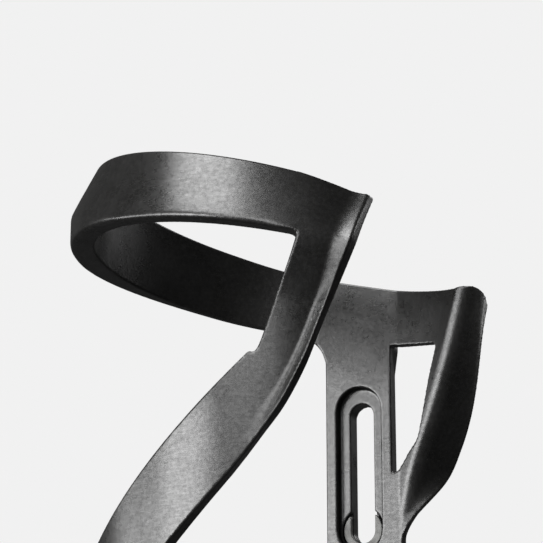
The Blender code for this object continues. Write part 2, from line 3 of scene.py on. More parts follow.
import bmesh
import bpy
import numpy as np
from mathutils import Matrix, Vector


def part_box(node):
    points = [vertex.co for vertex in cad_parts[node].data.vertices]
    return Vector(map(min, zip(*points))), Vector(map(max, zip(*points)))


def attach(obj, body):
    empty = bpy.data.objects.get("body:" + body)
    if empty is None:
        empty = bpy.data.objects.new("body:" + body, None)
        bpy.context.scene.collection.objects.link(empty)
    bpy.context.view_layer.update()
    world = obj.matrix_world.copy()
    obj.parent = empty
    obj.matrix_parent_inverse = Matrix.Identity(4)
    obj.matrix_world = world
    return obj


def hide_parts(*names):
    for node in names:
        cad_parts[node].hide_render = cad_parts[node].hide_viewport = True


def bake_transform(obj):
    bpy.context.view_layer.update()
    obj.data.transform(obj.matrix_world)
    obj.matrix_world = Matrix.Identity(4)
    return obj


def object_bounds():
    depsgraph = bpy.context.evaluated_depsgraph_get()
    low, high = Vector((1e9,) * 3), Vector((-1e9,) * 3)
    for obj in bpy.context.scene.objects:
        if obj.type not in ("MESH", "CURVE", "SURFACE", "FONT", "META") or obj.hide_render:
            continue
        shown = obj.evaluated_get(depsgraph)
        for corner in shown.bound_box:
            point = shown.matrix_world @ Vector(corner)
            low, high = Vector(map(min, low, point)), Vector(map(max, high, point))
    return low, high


# Looks of a side-entry bottle cage. Sizes are in millimetres and angles in degrees.
# +Y points into the bicycle, +Z is up and the bottle goes in from +X.
# Angles round the bottle start at the back plate and grow towards +X.

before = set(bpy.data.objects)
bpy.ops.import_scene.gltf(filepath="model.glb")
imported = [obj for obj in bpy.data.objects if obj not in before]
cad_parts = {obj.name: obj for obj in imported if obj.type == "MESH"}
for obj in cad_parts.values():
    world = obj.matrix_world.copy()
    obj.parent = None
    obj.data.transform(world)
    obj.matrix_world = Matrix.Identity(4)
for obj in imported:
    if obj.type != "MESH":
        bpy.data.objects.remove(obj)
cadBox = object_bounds()
metre = 0.001
turn = 2 * math.pi
mergeWithin = 0.0005     # points closer than this are one


def boxOf(node):
    low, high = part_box(node)
    return low / metre, high / metre


plateLow, plateHigh = boxOf("back_plate")
toeLow = boxOf("base_toe")[0]
seatBoxes = {"upper": boxOf("upper_bolt_seat"), "lower": boxOf("lower_bolt_seat")}

bottle = {
    "radius": 36.9,          # from the bottle's axis to the flat face of the plate
    "wallClearance": 1.1,
    "buried": 1.2,           # members end this deep in the plate
}

axisY = plateLow.y - bottle["radius"]
wallRadius = bottle["radius"] + bottle["wallClearance"]
halfPlate = plateHigh.x
plateAngle = math.asin(halfPlate / wallRadius)
buriedAngle = math.asin((halfPlate - bottle["buried"]) / wallRadius)
seatRadius = (seatBoxes["upper"][1].x - seatBoxes["upper"][0].x) / 2
seatZ = [low.z + seatRadius for low, high in seatBoxes.values()]


# shared by every shape

def smoothStep(low, high, value):
    t = min(1.0, max(0.0, (value - low) / (high - low)))
    return t * t * (3 - 2 * t)


def mix(a, b, t):
    return a + (b - a) * t


def around(angle, radius, z):
    return Vector((radius * math.sin(angle), axisY + radius * math.cos(angle), z))


def acrossHalf(steps):
    return [i / steps for i in range(-steps, steps + 1)]


def wrapped(angle):
    return (angle + math.pi) % turn - math.pi


def fillet(size, away):
    # how far a round corner of that size stands out, this far away from the wall
    if away >= size:
        return 0.0
    return size - math.sqrt(max(0.0, size ** 2 - (size - max(0.0, away)) ** 2))


def roundCorner(before, corner, after, size, steps=4):
    first = before - corner
    last = after - corner
    start = corner + first.normalized() * min(size, first.length * 0.9)
    end = corner + last.normalized() * min(size, last.length * 0.45)
    points = []
    for i in range(steps + 1):
        t = i / steps
        points.append((1 - t) ** 2 * start + 2 * t * (1 - t) * corner + t * t * end)
    return points


def sheetRing(inner, outer, size):
    # a closed ring round a sheet with its four corners rounded
    ring = list(inner[1:-1])
    ring += roundCorner(inner[-2], inner[-1], outer[-1], size)
    ring += reversed(roundCorner(outer[-2], outer[-1], inner[-1], size))
    ring += reversed(outer[1:-1])
    ring += roundCorner(outer[1], outer[0], inner[0], size)
    ring += reversed(roundCorner(inner[1], inner[0], outer[0], size))
    return ring


def objectFrom(name, bm):
    bmesh.ops.remove_doubles(bm, verts=bm.verts, dist=mergeWithin)
    bmesh.ops.recalc_face_normals(bm, faces=bm.faces)
    bmesh.ops.scale(bm, vec=(metre, metre, metre), verts=bm.verts)
    mesh = bpy.data.meshes.new(name)
    bm.to_mesh(mesh)
    bm.free()
    made = bpy.data.objects.new(name, mesh)
    bpy.context.scene.collection.objects.link(made)
    return made


def loftRings(name, rings, cornerSteps=4):
    # rings of sheetRing, capped at both ends by strips from one face to the other
    bm = bmesh.new()
    rows = [[bm.verts.new(point) for point in ring] for ring in rings]
    count = len(rows[0])
    for first, second in zip(rows, rows[1:]):
        for i in range(count):
            j = (i + 1) % count
            bm.faces.new((first[i], first[j], second[j], second[i]))
    corner = cornerSteps + 1
    across = (count - 4 * corner) // 2
    for row in (rows[0], rows[-1]):
        near = row[-corner:] + row[:across + corner]
        far = list(reversed(row[across + corner:count - corner]))
        for i in range(len(near) - 1):
            bm.faces.new((near[i], near[i + 1], far[i + 1], far[i]))
    return objectFrom(name, bm)


def prism(name, outline, place):
    # a closed outline carried between two depths; place turns (u, v, depth) into a point
    bm = bmesh.new()
    rows = []
    for depth in (0, 1):
        rows.append([bm.verts.new(place(u, v, depth)) for u, v in outline])
    count = len(outline)
    for i in range(count):
        j = (i + 1) % count
        bm.faces.new((rows[0][i], rows[0][j], rows[1][j], rows[1][i]))
    bm.faces.new(rows[0])
    bm.faces.new(list(reversed(rows[1])))
    return objectFrom(name, bm)


def applied(made):
    # its modifiers become its mesh
    depsgraph = bpy.context.evaluated_depsgraph_get()
    mesh = bpy.data.meshes.new_from_object(made.evaluated_get(depsgraph), depsgraph=depsgraph)
    made.modifiers.clear()
    made.data = mesh
    return made


def cutAway(made, tool):
    boolean = made.modifiers.new("cut", "BOOLEAN")
    boolean.operation = "DIFFERENCE"
    boolean.solver = "EXACT"
    boolean.object = tool
    applied(made)
    bpy.data.objects.remove(tool)
    return made


# the band and the strap share one wall round the bottle

band = {
    "z": 74.6,               # lower edge, on the bottle's axis
    "height": 13.4,
    "lowerTiltSide": 11.4,
    "lowerTiltBack": 3.0,
    "upperTiltSide": 14.7,
    "upperTiltBack": 3.7,
    "lean": 2.2,             # the top leans in by this much
    "leanFrom": 14,          # the lean grows between these angles
    "leanTo": 45,
    "rimRear": 2.4,
    "rimLeft": 5.2,
    "rimFront": 3.5,
    "rimGrowsFrom": 48,      # it thickens between these angles, counted to the left
    "rimGrowsTo": 100,
    "rimThinsFrom": 95,      # and thins again between these
    "rimThinsTo": 170,
    "rimRound": 1.1,         # radius of its outer lower edge
    "roundFrom": 1,          # which fades out between these distances from the strap
    "roundTo": 9,
    "topThickness": 2.0,
    "rimFace": 0.45,         # share of the height that stands upright at the left
    "faceShrinksFrom": 105,  # and shrinks to nothing between these angles
    "faceShrinksTo": 165,
    "crownPower": 1.1,       # how the outside curves in above it
    "rootFillet": 6.0,       # where it runs out into the plate
    "joinFillet": 1.3,       # where its lower edge meets the strap
    "intoStrap": 9,          # it ends this many degrees inside the strap
    "rounding": 0.5,
    "rings": 300,
    "rows": 16,              # crowded towards the lower edge
    "crowding": 1.5,
}
strap = {
    "thickness": 2.8,
    "leaveBand": 14.0,       # fades from the band's profile over this height
    "lipWidth": 4.6,
    "lipHeight": 2.7,
    "lipBevel": 1.7,
    "lipBack": 1.2,          # outer face of the lip stands out less by this much
    "lipCurl": 1.35,
    "lipFadesFrom": 0.62,    # shares of the way from the band to the turn
    "lipFadesTo": 0.97,
    "endAngle": 132.4,
    "endDrop": 1.2,
    "joinAngle": 153.8,
    "upperRun": 6.8,
    "upperDrop": 21.0,
    "upperStraight": 0.8,    # the upper edge goes straight down this share of the band
    "upperFalls": (3, 12),   # and passes through these heights below it
    "turnRun": 1.8,          # the turn to the left goes this much further
    "turnDrop": 1.0,
    "upperSlope": 1.0,
    "lowerRun": 25.8,
    "lowerDrop": 51.9,
    "lowerBow": (            # shares of its run and of its drop
        (0, 0), (0.12, 0.13), (0.275, 0.34), (0.405, 0.51),
        (0.51, 0.65), (0.642, 0.78), (0.8, 0.88), (1, 1),
    ),
    "lowerSlope": 1.09,
    "footHeight": 12.0,
    "footSlope": 0.08,
    "rounding": 0.5,
    "rings": 200,            # down to the far left
    "footRings": 120,        # and from there to the plate
    "bodySteps": 16,
    "lipSteps": 8,
}

joinAngle = math.radians(strap["joinAngle"])
endAngle = math.radians(strap["endAngle"])
leftAngle = math.radians(270)


def lowerEdge(angle):
    x = wallRadius * math.sin(angle)
    y = wallRadius * math.cos(angle)
    drop = x * math.tan(math.radians(band["lowerTiltSide"]))
    return band["z"] - drop - y * math.tan(math.radians(band["lowerTiltBack"]))


def upperEdge(angle):
    x = wallRadius * math.sin(angle)
    y = wallRadius * math.cos(angle)
    drop = x * math.tan(math.radians(band["upperTiltSide"]))
    drop += y * math.tan(math.radians(band["upperTiltBack"]))
    if angle % turn > math.pi / 2:
        drop += strap["endDrop"] * smoothStep(joinAngle, endAngle, angle % turn)
    return band["z"] + band["height"] - drop


def wallAt(angle):
    # flat at the plate, then round
    if math.cos(angle) <= 0:
        return wallRadius
    return min(bottle["radius"] / math.cos(angle), wallRadius)


def rimThickness(angle):
    roundLeft = math.degrees(-angle % turn)
    grown = smoothStep(band["rimGrowsFrom"], band["rimGrowsTo"], roundLeft)
    thinned = smoothStep(band["rimThinsFrom"], band["rimThinsTo"], roundLeft)
    return mix(mix(band["rimRear"], band["rimLeft"], grown), band["rimFront"], thinned)


def bandRadii(angle, height):
    lean = smoothStep(band["leanFrom"], band["leanTo"], math.degrees(abs(wrapped(angle))))
    lean *= band["lean"]
    low = wallAt(angle) + lean / 2 + rimThickness(angle)
    high = wallAt(angle) - lean / 2 + band["topThickness"]
    roundLeft = math.degrees(-angle % turn)
    face = band["rimFace"] * (1 - smoothStep(band["faceShrinksFrom"], band["faceShrinksTo"], roundLeft))
    rise = max(0.0, height - face) / (1 - face)
    return wallAt(angle) + lean * (0.5 - height), mix(low, high, rise ** band["crownPower"])


def shellRadii(angle, z):
    low = lowerEdge(angle)
    height = (z - low) / (upperEdge(angle) - low)
    if height >= 0:
        return bandRadii(angle, min(height, 1.0))
    inner, outer = bandRadii(angle, 0.0)
    away = smoothStep(0.0, strap["leaveBand"], low - z)
    wall = wallAt(angle)
    return mix(inner, wall, away), mix(outer, wall + strap["thickness"], away)


def bandRing(angle):
    fromPlate = (abs(wrapped(angle)) - plateAngle) * wallRadius
    fromStrap = (angle + turn - joinAngle) * wallRadius
    low = lowerEdge(angle) - max(fillet(band["rootFillet"], fromPlate),
                                 fillet(band["joinFillet"], fromStrap))
    apart = smoothStep(band["roundFrom"], band["roundTo"], fromStrap)
    inner = []
    outer = []
    for i in range(band["rows"] + 1):
        z = mix(low, upperEdge(angle), (i / band["rows"]) ** band["crowding"])
        radii = shellRadii(angle, z)
        inner.append(around(angle, radii[0], z))
        outer.append(around(angle, radii[1] - apart * fillet(band["rimRound"], z - low), z))
    return sheetRing(inner, outer, band["rounding"])


def makeBand():
    start = -buriedAngle
    end = joinAngle - turn - math.radians(band["intoStrap"])
    steps = band["rings"]
    return loftRings("band", [bandRing(mix(start, end, i / steps)) for i in range(steps + 1)])


def throughPoints(points, t):
    # a smooth curve through the points, t from 0 to 1
    spans = len(points) - 1
    place = min(spans - 1e-6, max(0.0, t * spans))
    i = int(place)
    u = place - i
    here, there = points[i], points[i + 1]
    before = points[i - 1] if i > 0 else [2 * a - b for a, b in zip(here, there)]
    after = points[i + 2] if i + 2 <= spans else [2 * b - a for a, b in zip(here, there)]
    result = []
    for a, b, c, d in zip(before, here, there, after):
        bend = (2 * a - 5 * b + 4 * c - d) * u * u + (3 * b - a - 3 * c + d) * u ** 3
        result.append(0.5 * (2 * b + (c - a) * u + bend))
    return result


def strapTurns():
    # where the two edges of the strap turn to the left, as (arc, z)
    under = lowerEdge(joinAngle)
    upperArc = joinAngle * wallRadius + strap["upperRun"] + strap["turnRun"]
    lowerArc = endAngle * wallRadius + strap["lowerRun"]
    upper = (upperArc, under - strap["upperDrop"] - strap["turnDrop"])
    return upper, (lowerArc, upperEdge(endAngle) - strap["lowerDrop"])


def runOut(start, endZ, slope, s):
    # height of an edge that falls by slope at its start and runs out level at the plate
    length = (turn - plateAngle) * wallRadius - start[0]
    t = (s - start[0]) / length
    level = 1 - 3 * t * t + 2 * t ** 3
    first = t - 2 * t * t + t ** 3
    last = t ** 3 - t * t
    bend = length * (slope * first + strap["footSlope"] * last)
    return start[1] * level + endZ * (1 - level) - bend


def upperSide(s):
    return runOut(strapTurns()[0], plateLow.z + strap["footHeight"], strap["upperSlope"], s)


def lowerSide(s):
    return runOut(strapTurns()[1], plateLow.z, strap["lowerSlope"], s)


def strapEdges():
    join = joinAngle * wallRadius
    under = lowerEdge(joinAngle)
    top = upperEdge(joinAngle)
    lean = strap["upperRun"] / strap["upperDrop"]
    upperTurn, lowerTurn = strapTurns()
    upper = [(join, top), (join, mix(top, under, strap["upperStraight"]))]
    upper += [(join + lean * fall, under - fall) for fall in strap["upperFalls"]]
    upper += [(join + strap["upperRun"], under - strap["upperDrop"]), upperTurn]
    start = (endAngle * wallRadius, upperEdge(endAngle))
    lower = []
    for run, drop in strap["lowerBow"]:
        lower.append((mix(start[0], lowerTurn[0], run), mix(start[1], lowerTurn[1], drop)))
    return upper, lower


def strapCorners(t, edges):
    # both edges (arc, z) at t: 0 at the top of the band, 1 at the turn, 2 at the far left
    if t <= 1:
        return throughPoints(edges[0], t), throughPoints(edges[1], t)
    upper, lower = strapTurns()
    left = leftAngle * wallRadius
    s0 = mix(upper[0], left, t - 1)
    s1 = mix(lower[0], left, t - 1)
    return (s0, upperSide(s0)), (s1, lowerSide(s1))


def strapRing(upper, lower, flare):
    span = math.hypot(lower[0] - upper[0], lower[1] - upper[1])
    crease = 1 - strap["lipWidth"] / span
    shares = [(crease * i / strap["bodySteps"], 0.0) for i in range(strap["bodySteps"])]
    for i in range(strap["lipSteps"] + 1):
        u = i / strap["lipSteps"]
        shares.append((mix(crease, 1, u), flare * u ** strap["lipCurl"]))
    inner = []
    outer = []
    for share, lift in shares:
        s = mix(upper[0], lower[0], share)
        z = mix(upper[1], lower[1], share)
        radii = shellRadii(s / wallRadius, z)
        inner.append(around(s / wallRadius, radii[0] + lift * strap["lipHeight"], z))
        back = share - lift * strap["lipBevel"] / span
        s = mix(upper[0], lower[0], back)
        z = mix(upper[1], lower[1], back)
        lifted = radii[1] + lift * (strap["lipHeight"] - strap["lipBack"])
        outer.append(around(s / wallRadius, lifted, z))
    return sheetRing(inner, outer, strap["rounding"])


def makeStrap():
    edges = strapEdges()
    rings = []
    for t in np.linspace(0, 2, strap["rings"]):
        upper, lower = strapCorners(t, edges)
        flare = 1 - smoothStep(strap["lipFadesFrom"], strap["lipFadesTo"], t)
        rings.append(strapRing(upper, lower, flare))
    for angle in np.linspace(leftAngle, turn - buriedAngle, strap["footRings"])[1:]:
        s = angle * wallRadius
        raised = fillet(band["rootFillet"], (turn - plateAngle - angle) * wallRadius)
        rings.append(strapRing((s, upperSide(s) + raised), (s, lowerSide(s)), 0.0))
    return loftRings("strap", rings)


# the back plate with its recesses, slots and pockets for the bolt seats

plate = {
    "edgeThickness": 4.9,    # where there is no pad behind it
    "padWidth": 12.7,
    "padMargin": 3.0,        # pad beyond each end of a recess
    "padRunOut": 5.0,
    "recessWidth": 10.1,
    "recessDepth": 2.1,
    "slotWidth": 5.3,
    "slotTravel": 25.7,      # between the centres of a recess's round ends
    "slotShort": 0.9,        # the slot ends this much lower
    "pocketClearance": 0.3,
    "cutPast": 1.0,          # cutters start at least this far outside a face
    "rounding": 0.45,
}


def stadium(width, low, high, steps=24):
    outline = []
    for centre, start in ((high, 0.0), (low, math.pi)):
        for i in range(steps + 1):
            angle = start + math.pi * i / steps
            outline.append((width / 2 * math.cos(angle), centre + width / 2 * math.sin(angle)))
    return outline


def alongY(near, far):
    return lambda u, v, depth: Vector((u, mix(near, far, depth), v))


def makePlate():
    front = plateLow.y
    thin = front + plate["edgeThickness"]
    recessEnd = seatZ[0] + plate["slotTravel"] + plate["recessWidth"] / 2
    padTop = recessEnd + plate["padMargin"]

    def topLine(x):
        return upperEdge(math.asin(x / wallRadius))

    def section(zAt, back):
        narrowing = min(1.0, (back - thin) / -thin)
        halfPad = mix(halfPlate, plate["padWidth"] / 2, max(0.0, narrowing))
        inner = [Vector((x * halfPlate, front, zAt(x * halfPlate))) for x in acrossHalf(6)]
        outer = [Vector((x * halfPad, back, zAt(x * halfPad))) for x in acrossHalf(6)]
        return sheetRing(inner, outer, plate["rounding"])

    stops = [(topLine, thin), (lambda x: padTop + plate["padRunOut"], thin),
             (lambda x: padTop, 0.0), (lambda x: plateLow.z, 0.0)]
    made = loftRings("plate", [section(zAt, back) for zAt, back in stops])
    floor = front + plate["recessDepth"]
    past = plate["cutPast"]
    clearance = plate["pocketClearance"]
    pocketFloor = max(high.y for low, high in seatBoxes.values()) + clearance
    for z in seatZ:
        top = z + plate["slotTravel"]
        recess = stadium(plate["recessWidth"], z, top)
        pocket = stadium(2 * (seatRadius + clearance), z, z + clearance)
        slot = stadium(plate["slotWidth"], z, top - plate["slotShort"])
        cutAway(made, prism("recess", recess, alongY(front - past, floor)))
        cutAway(made, prism("pocket", pocket, alongY(floor - past, pocketFloor)))
        cutAway(made, prism("slot", slot, alongY(front - 2 * past, 2 * past)))
    return made


# the wing on the entry side, with its window and its flared lip

wing = {
    "thickness": 2.2,
    "reach": 29.0,           # along the wall to the crease, level with the band's lower edge
    "slope": 0.47,
    "length": 50.0,
    "topDrop": 0.1,          # of its top edge at the crease
    "dropFrom": 0.4,         # share of the way to the crease
    "creaseRadius": 3.5,
    "lipTurn": 75,
    "lipTopLength": 3.0,
    "lipLength": 6.4,
    "lipThickness": 1.5,
    "lipGrowsTo": 0.55,      # this and the next two are shares of the wing's length
    "lipFadesFrom": 0.6,
    "lipFadesTo": 0.965,
    "leastWall": 1.3,        # what is left at the tail
    "leastLipTurn": 0.05,
    "leastLip": 0.08,
    "cornerRadius": 4.5,
    "cornerInCrease": 0.45,  # share of the corner that lies in the crease
    "windowTop": 3.2,
    "windowHeight": 28.1,
    "windowLimbTop": 7.2,    # wall between the window and the crease, at the top
    "windowLimb": 3.3,       # and where the window narrows
    "windowBend": 0.76,      # share of the window's height
    "windowSkew": 2.0,
    "windowFoot": 0.9,
    "windowCorner": 1.3,
    "windowInPlate": 2.0,    # the cutter reaches past the window by these three
    "windowCutIn": 4.0,
    "windowCutOut": 8.0,
    "rounding": 0.5,
    "rings": 110,
    "wallSteps": 20,
    "lipSteps": 8,
}


def wingEdge(z):
    return wing["reach"] + (z - band["z"]) * wing["slope"]


def wingRing(t):
    bottom = band["z"] - wing["length"]
    baseZ = mix(upperEdge(wing["reach"] / wallRadius), bottom, t)
    start = buriedAngle * wallRadius
    fade = 1 - smoothStep(wing["lipFadesFrom"], wing["lipFadesTo"], t)
    radius = wing["creaseRadius"]
    wallEnd = max(wingEdge(baseZ) - radius * fade, plateAngle * wallRadius + wing["leastWall"])
    level = (1 - t) ** 2
    inner = []
    outer = []
    for i in range(wing["wallSteps"] + 1):
        share = i / wing["wallSteps"]
        s = mix(start, wallEnd, share)
        top = upperEdge(s / wallRadius) - wing["topDrop"] * smoothStep(wing["dropFrom"], 1.0, share)
        z = mix(baseZ, mix(top, bottom, t), level)
        wall = wallAt(s / wallRadius)
        inner.append(around(s / wallRadius, wall, z))
        outer.append(around(s / wallRadius, wall + wing["thickness"], z))
    bend = math.radians(wing["lipTurn"]) * max(fade, wing["leastLipTurn"])
    length = mix(wing["lipTopLength"], wing["lipLength"], smoothStep(0.0, wing["lipGrowsTo"], t))
    length *= max(fade, wing["leastLip"])
    rounding = wing["cornerRadius"] * level
    creaseZ = inner[-1].z
    inCrease = wing["cornerInCrease"]
    steps = [(i + 1) / wing["lipSteps"] for i in range(wing["lipSteps"])]
    for turned, along in [(step, 0.0) for step in steps] + [(1.0, step) for step in steps]:
        angle = bend * turned
        s = wallEnd + radius * math.sin(angle) + length * along * math.cos(angle)
        up = radius * (1 - math.cos(angle)) + length * along * math.sin(angle)
        past = inCrease * turned + (1 - inCrease) * along
        z = creaseZ - rounding * (1 - math.sqrt(1 - past ** 3))
        thickness = mix(wing["thickness"], wing["lipThickness"], along)
        inner.append(around(s / wallRadius, wallRadius + up, z))
        s -= thickness * math.sin(angle)
        outer.append(around(s / wallRadius, wallRadius + up + thickness * math.cos(angle), z))
    return sheetRing(inner, outer, wing["rounding"])


def roundedOutline(corners, radius, steps=8):
    outline = []
    count = len(corners)
    for i in range(count):
        before, here, after = (Vector(corners[(i + k) % count]) for k in (-1, 0, 1))
        reach = min(radius, (before - here).length * 0.45, (after - here).length * 0.45)
        a = here + (before - here).normalized() * reach
        b = here + (after - here).normalized() * reach
        for k in range(steps + 1):
            t = k / steps
            outline.append((1 - t) ** 2 * a + 2 * t * (1 - t) * here + t * t * b)
    return outline


def makeWing():
    made = loftRings("wing", [wingRing(t) for t in np.linspace(0, 1, wing["rings"])])
    top = band["z"] - wing["windowTop"]
    bottom = top - wing["windowHeight"]
    plateSide = plateAngle * wallRadius
    bend = mix(top, bottom, wing["windowBend"])
    corners = [
        (plateSide - wing["windowInPlate"], top),
        (wingEdge(top) - wing["windowLimbTop"], top - wing["windowSkew"]),
        (wingEdge(bend) - wing["windowLimb"], bend),
        (plateSide + wing["windowFoot"], bottom),
        (plateSide - wing["windowInPlate"], bottom),
    ]
    outline = roundedOutline(corners, wing["windowCorner"])

    def place(s, z, depth):
        radius = mix(wallRadius - wing["windowCutIn"], wallRadius + wing["windowCutOut"], depth)
        return around(s / wallRadius, radius, z)

    return cutAway(made, prism("window", outline, place))


# the heel and the toe under the bottle

toe = {
    "heelRadius": 7.0,
    "thickness": 3.2,
    "length": 30.0,
    "width": 17.0,
    "tipWidth": 14.0,
    "widthAt": 0.4,          # share of the straight part at which it has that width
    "tipTurn": 80,
    "leastHalfWidth": 1.8,
    "intoPlate": 1.2,        # the plate carries on this far above the heel
    "rounding": 0.6,
    "steps": 24,
    "tipSteps": 18,
}


def makeToe():
    front = plateLow.y
    centreY = front - toe["heelRadius"]
    top = toeLow.z + toe["thickness"]
    centreZ = top + toe["heelRadius"]
    rings = []

    def ring(inner, outer, half):
        inside = [Vector((x * half, *inner)) for x in acrossHalf(8)]
        outside = [Vector((x * half, *outer)) for x in acrossHalf(8)]
        rings.append(sheetRing(inside, outside, toe["rounding"]))

    def atHeel(radius, angle):
        return centreY + radius * math.cos(angle), centreZ - radius * math.sin(angle)

    ring((front, centreZ + toe["intoPlate"]), (0.0, centreZ + toe["intoPlate"]), halfPlate)
    steps = toe["steps"]
    for i in range(steps + 1):
        angle = math.pi / 2 * i / steps
        thick = mix(-front, toe["thickness"], smoothStep(0, 1, i / steps))
        ring(atHeel(toe["heelRadius"], angle), atHeel(toe["heelRadius"] + thick, angle), halfPlate)
    tipRadius = toe["tipWidth"] / 2
    straight = toe["length"] - toe["heelRadius"] - tipRadius
    for i in range(1, steps + 1):
        half = mix(halfPlate, toe["width"] / 2, smoothStep(0, toe["widthAt"], i / steps))
        half = mix(half, tipRadius, smoothStep(toe["widthAt"], 1, i / steps))
        y = centreY - straight * i / steps
        ring((y, top), (y, toeLow.z), half)
    for i in range(1, toe["tipSteps"] + 1):
        angle = math.radians(toe["tipTurn"]) * i / toe["tipSteps"]
        y = centreY - straight - tipRadius * math.sin(angle)
        ring((y, top), (y, toeLow.z), max(tipRadius * math.cos(angle), toe["leastHalfWidth"]))
    return loftRings("toe", rings)


# one skin over all the members, as they come out of one mould

skinMesh = {
    "voxel": 0.21,
    "voxelWhenQuick": 0.45,
    "smoothing": 13,         # rounds of smoothing, each without shrinking
    "triangles": 190000,
}


def neighbourMean(values, edges, count):
    total = np.zeros_like(values)
    for a, b in ((0, 1), (1, 0)):
        for axis in range(values.shape[1]):
            total[:, axis] += np.bincount(edges[:, a], values[edges[:, b], axis], len(values))
    return total / count[:, None]


def meshArrays(mesh):
    places = np.zeros(len(mesh.vertices) * 3)
    mesh.vertices.foreach_get("co", places)
    edges = np.zeros(len(mesh.edges) * 2, np.int64)
    mesh.edges.foreach_get("vertices", edges)
    edges = edges.reshape(-1, 2)
    count = np.bincount(edges.ravel(), minlength=len(mesh.vertices)).astype(float)
    return places.reshape(-1, 3), edges, np.maximum(count, 1)


def smoothed(mesh, rounds):
    places, edges, count = meshArrays(mesh)
    for _ in range(rounds):
        for share in (0.5, -0.52):      # in, then as far out again
            places += share * (neighbourMean(places, edges, count) - places)
    mesh.vertices.foreach_set("co", places.ravel())
    mesh.update()


def keepLargest(made):
    # the remesh may leave crumbs beside a sharp edge
    bm = bmesh.new()
    bm.from_mesh(made.data)
    bm.verts.ensure_lookup_table()
    island = np.zeros(len(bm.verts), int)
    sizes = [0]
    for seed in bm.verts:
        if island[seed.index]:
            continue
        sizes.append(0)
        number = len(sizes) - 1
        waiting = [seed]
        island[seed.index] = number
        while waiting:
            vertex = waiting.pop()
            sizes[number] += 1
            for edge in vertex.link_edges:
                other = edge.other_vert(vertex)
                if not island[other.index]:
                    island[other.index] = number
                    waiting.append(other)
    if len(sizes) > 2:
        largest = int(np.argmax(sizes))
        crumbs = [vertex for vertex in bm.verts if island[vertex.index] != largest]
        bmesh.ops.delete(bm, geom=crumbs, context="VERTS")
        bm.to_mesh(made.data)
    bm.free()


def makeSkin():
    members = [makePlate(), makeBand(), makeStrap(), makeWing(), makeToe()]
    bm = bmesh.new()
    for member in members:
        bm.from_mesh(member.data)
        bpy.data.objects.remove(member)
    mesh = bpy.data.meshes.new("moulding")
    bm.to_mesh(mesh)
    bm.free()
    made = bpy.data.objects.new("moulding", mesh)
    bpy.context.scene.collection.objects.link(made)
    remesh = made.modifiers.new("skin", "REMESH")
    remesh.mode = "VOXEL"
    remesh.voxel_size = metre * skinMesh["voxel"]
    applied(made)
    keepLargest(made)
    print("moulding: skin of", len(made.data.polygons), "faces")
    smoothed(made.data, skinMesh["smoothing"])
    share = skinMesh["triangles"] / (2 * len(made.data.polygons))
    if share < 1:
        thin = made.modifiers.new("thin", "DECIMATE")
        thin.ratio = share
        applied(made)
    places = meshArrays(made.data)[0]
    places = np.clip(places, np.array(cadBox[0]), np.array(cadBox[1]))
    made.data.vertices.foreach_set("co", places.ravel())
    made.data.update()
    made.data.shade_smooth()
    print("moulding: kept", len(made.data.polygons), "faces")
    return made


# shader maths as plain expressions

class Wire:
    def __init__(self, paint, socket):
        self.paint = paint
        self.socket = socket

    def maths(self, operation, left, right):
        return self.paint.node("ShaderNodeMath", {"operation": operation}, {0: left, 1: right})

    def __add__(self, other):
        return self.maths("ADD", self, other)

    def __radd__(self, other):
        return self.maths("ADD", other, self)

    def __sub__(self, other):
        return self.maths("SUBTRACT", self, other)

    def __rsub__(self, other):
        return self.maths("SUBTRACT", other, self)

    def __mul__(self, other):
        return self.maths("MULTIPLY", self, other)

    def __rmul__(self, other):
        return self.maths("MULTIPLY", other, self)


class Paint:
    # the nodes of a material or of the world, all made by node()
    def __init__(self, owner, ending):
        self.owner = owner
        owner.use_nodes = True
        self.tree = owner.node_tree
        self.ending = self.tree.nodes[ending]

    def node(self, kind, settings=None, values=None, output=0):
        made = self.tree.nodes.new(kind)
        for key, value in (settings or {}).items():
            if key == "stops":
                self.setStops(made.color_ramp, value)
            else:
                setattr(made, key, value)
        for key, value in (values or {}).items():
            self.feed(made.inputs[key], value)
        return Wire(self, made.outputs[output])

    def setStops(self, ramp, stops):
        while len(ramp.elements) < len(stops):
            ramp.elements.new(1.0)
        for element, (place, level) in zip(ramp.elements, stops):
            element.position = place
            element.color = (level, level, level, 1.0)

    def feed(self, socket, value):
        if isinstance(value, Wire):
            self.tree.links.new(value.socket, socket)
        else:
            socket.default_value = value

    def result(self, values):
        for key, value in values.items():
            self.feed(self.ending.inputs[key], value)
        return self.owner

    def ramp(self, value, *stops):
        return self.node("ShaderNodeValToRGB", {"stops": stops}, {"Fac": value})

    def noise(self, place, scale, detail=4.0, roughness=0.5, distortion=0.0):
        values = {"Vector": place, "Scale": scale, "Detail": detail}
        values.update({"Roughness": roughness, "Distortion": distortion})
        return self.node("ShaderNodeTexNoise", {"noise_dimensions": "3D"}, values)

    def stretch(self, place, scale):
        return self.node("ShaderNodeVectorMath", {"operation": "MULTIPLY"}, {0: place, 1: scale})

    def blendColours(self, share, first, second):
        values = {"Factor": share, 6: first, 7: second}
        return self.node("ShaderNodeMix", {"data_type": "RGBA"}, values, 2)

    def bump(self, height, strength, distance):
        values = {"Strength": strength, "Distance": distance, "Height": height}
        return self.node("ShaderNodeBump", None, values)


def materialPaint(name):
    return Paint(bpy.data.materials.new(name), "Principled BSDF")


# the black composite of the whole moulding

